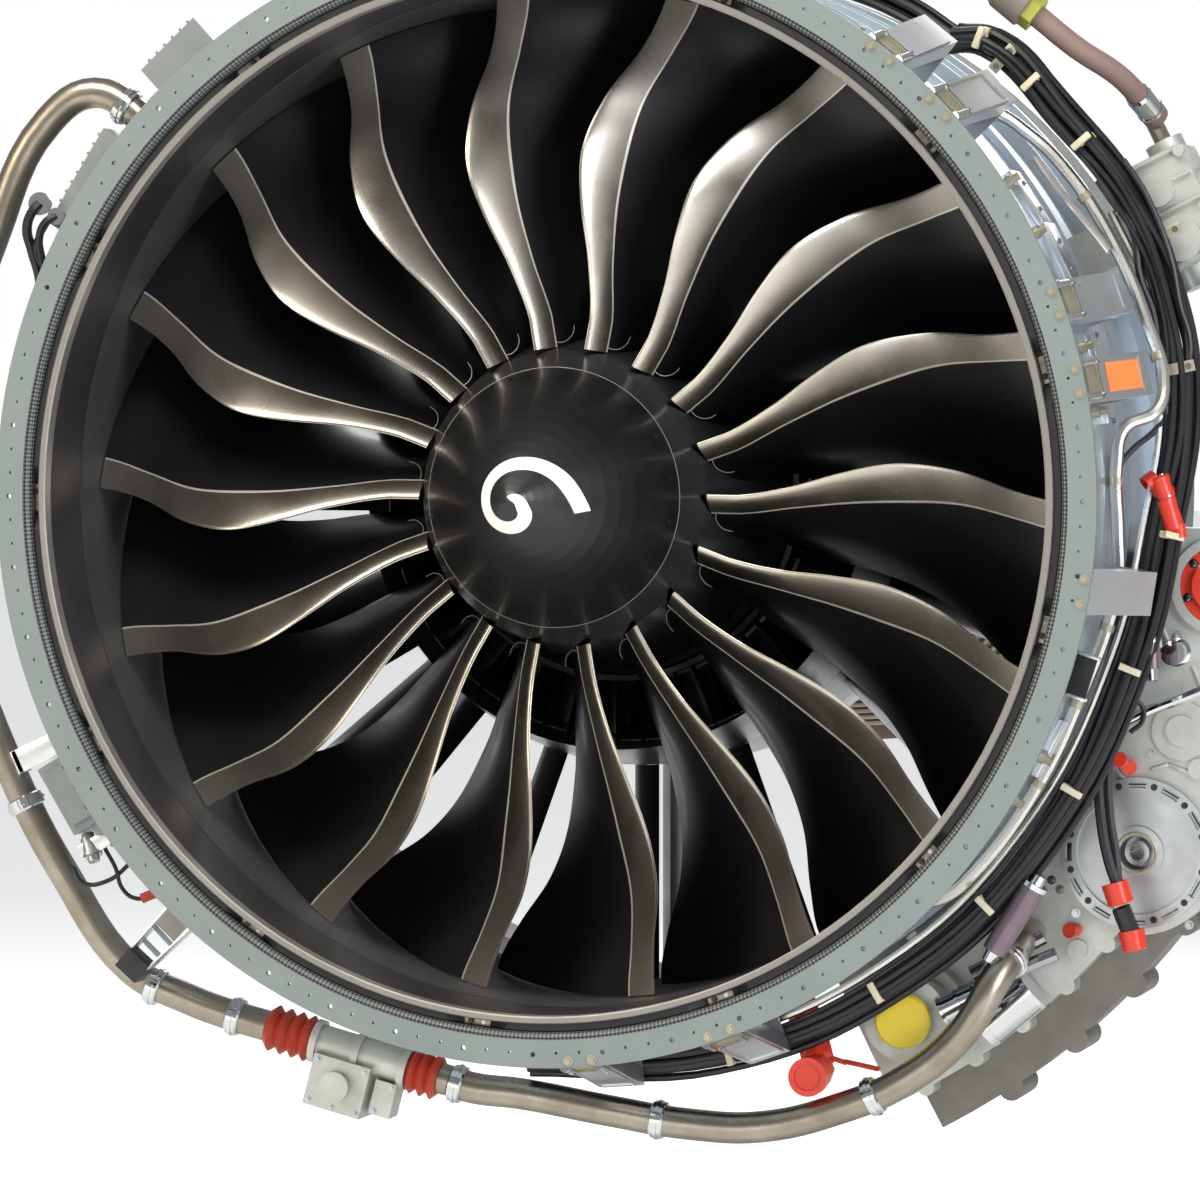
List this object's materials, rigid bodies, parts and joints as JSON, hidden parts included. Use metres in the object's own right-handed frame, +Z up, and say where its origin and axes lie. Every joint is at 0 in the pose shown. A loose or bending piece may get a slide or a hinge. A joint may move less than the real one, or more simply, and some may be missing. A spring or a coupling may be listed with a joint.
{
  "type": "turbofan engine",
  "caption": "Bare high-bypass turbofan: curved fan blades in a bolted fan case, gearbox and accessories on its side, ducts and looms round it, slim core behind.",
  "frame": {"origin": "centre of the inlet flange's front face, on the engine axis", "axes": "+Y along the engine axis in the direction of the air flow, +Z up, +X to the right seen from the front"},
  "size_m": [2.7949, 3.498, 2.3847],
  "materials": {
    "flange_paint": "satin primer over alloy",
    "case_composite": "woven composite with dark paint",
    "bare_aluminium": "machined",
    "cast_aluminium": "as cast, satin",
    "panel_liner": "matt acoustic lining",
    "rub_strip": "matt abradable filler",
    "blade_composite": "dark glossy coating over carbon fibre",
    "dark_steel": "dark satin",
    "bare_titanium": "satin titanium",
    "bearing_steel": "ground steel",
    "tube_steel": "bright tube",
    "polished_steel": "polished",
    "nickel_alloy": "heat-tinted satin",
    "guard_titanium": "satin with warm tint",
    "platform_grey": "satin",
    "spinner_black": "glossy black paint",
    "red_cover": "moulded",
    "red_bellows": "satin",
    "yellow_cap": "moulded",
    "black_cap": "matt",
    "grey_paint": "satin",
    "bracket_plate": "clear anodised",
    "cable_sheath": "braided sleeve",
    "hose_braid": "braided cover"
  },
  "bodies": {
    "static_structure": {"inlet_flange": "flange_paint", "fan_case": "case_composite", "intake_lip_ring": "bare_aluminium", "acoustic_panel": "panel_liner", "tip_rub_ring": "rub_strip", "aft_panel": "panel_liner", "outlet_guide_vanes": "blade_composite", "splitter_ring": "bare_aluminium", "booster_guide_vanes": "dark_steel", "booster_case": "bare_titanium", "fan_frame": "bare_aluminium", "front_bearing_housing": "bare_titanium", "main_bearings": "bearing_steel", "compressor_case": "bare_titanium", "combustor_case": "nickel_alloy", "combustor_liner": "nickel_alloy", "fuel_nozzles": "bearing_steel", "igniters": "bearing_steel", "turbine_case": "nickel_alloy", "turbine_cooling_tubes": "tube_steel", "turbine_rear_frame": "nickel_alloy", "tail_cone": "nickel_alloy", "front_mount": "bare_titanium", "rear_mount": "bare_titanium", "gearbox_housing": "cast_aluminium", "gearbox_rear_housing": "cast_aluminium", "generator_pad": "bare_aluminium", "pump_cover": "red_cover", "transfer_gearbox": "cast_aluminium", "starter": "cast_aluminium", "starter_cap": "yellow_cap", "air_valve": "cast_aluminium", "air_duct": "tube_steel", "duct_bellows": "red_bellows", "duct_elbow_cap": "red_cover", "oil_filter": "polished_steel", "fuel_control": "cast_aluminium", "oil_tank": "bare_aluminium", "engine_controller": "grey_paint", "exciter_boxes": "grey_paint", "channel_brackets": "bracket_plate", "drain_tubes": "tube_steel", "wiring_loom": "cable_sheath", "supply_hose": "hose_braid"},
    "low_pressure_spool": {"fan_disk": "bare_titanium", "fan_blades": "blade_composite", "leading_edge_guards": "guard_titanium", "blade_platforms": "platform_grey", "spinner_cone": "spinner_black", "spinner_ring": "bare_titanium", "booster_rotor": "bare_titanium", "fan_shaft": "bearing_steel", "low_turbine_rotor": "nickel_alloy"},
    "high_pressure_spool": {"compressor_rotor": "bare_titanium", "high_turbine_rotor": "nickel_alloy"},
    "radial_drive": {"radial_drive_shaft": "bearing_steel"},
    "transfer_drive": {"transfer_drive_shaft": "bearing_steel"},
    "pad_drive": {"generator_drive": "bearing_steel"},
    "vane_rings": {"unison_rings": "bearing_steel"},
    "filler_cap": {"oil_filler_cap": "black_cap"}
  },
  "joints": [
    {"name": "low_pressure_spin", "type": "hinge", "parent": "static_structure", "child": "low_pressure_spool", "pos_m": [0, 0.5, 0], "axis": [0, 1, 0], "continuous": true},
    {"name": "high_pressure_spin", "type": "hinge", "parent": "static_structure", "child": "high_pressure_spool", "pos_m": [0, 1.6, 0], "axis": [0, 1, 0], "continuous": true},
    {"name": "radial_drive_spin", "type": "hinge", "parent": "static_structure", "child": "radial_drive", "pos_m": [0.42426, 1.13, -0.42426], "axis": [0.7071, 0, -0.7071], "continuous": true},
    {"name": "transfer_drive_spin", "type": "hinge", "parent": "static_structure", "child": "transfer_drive", "pos_m": [0.85913, 0.95, -0.85913], "axis": [0, 1, 0], "continuous": true},
    {"name": "pad_drive_spin", "type": "hinge", "parent": "static_structure", "child": "pad_drive", "pos_m": [1.07182, 0.6, -0.69605], "axis": [0, 1, 0], "continuous": true},
    {"name": "vane_ring_turn", "type": "hinge", "parent": "static_structure", "child": "vane_rings", "pos_m": [0, 1.54, 0], "axis": [0, 1, 0], "range_deg": [-5, 5]},
    {"name": "filler_cap_hinge", "type": "hinge", "parent": "static_structure", "child": "filler_cap", "pos_m": [-1.0591, 0.75, 0.2991], "axis": [0, 1, 0], "range_deg": [0, 75]}
  ],
  "couplings": [
    {"joint": "radial_drive_spin", "follows": "high_pressure_spin", "ratio": -4.4},
    {"joint": "transfer_drive_spin", "follows": "high_pressure_spin", "ratio": 4.4},
    {"joint": "pad_drive_spin", "follows": "high_pressure_spin", "ratio": 2.2}
  ]
}
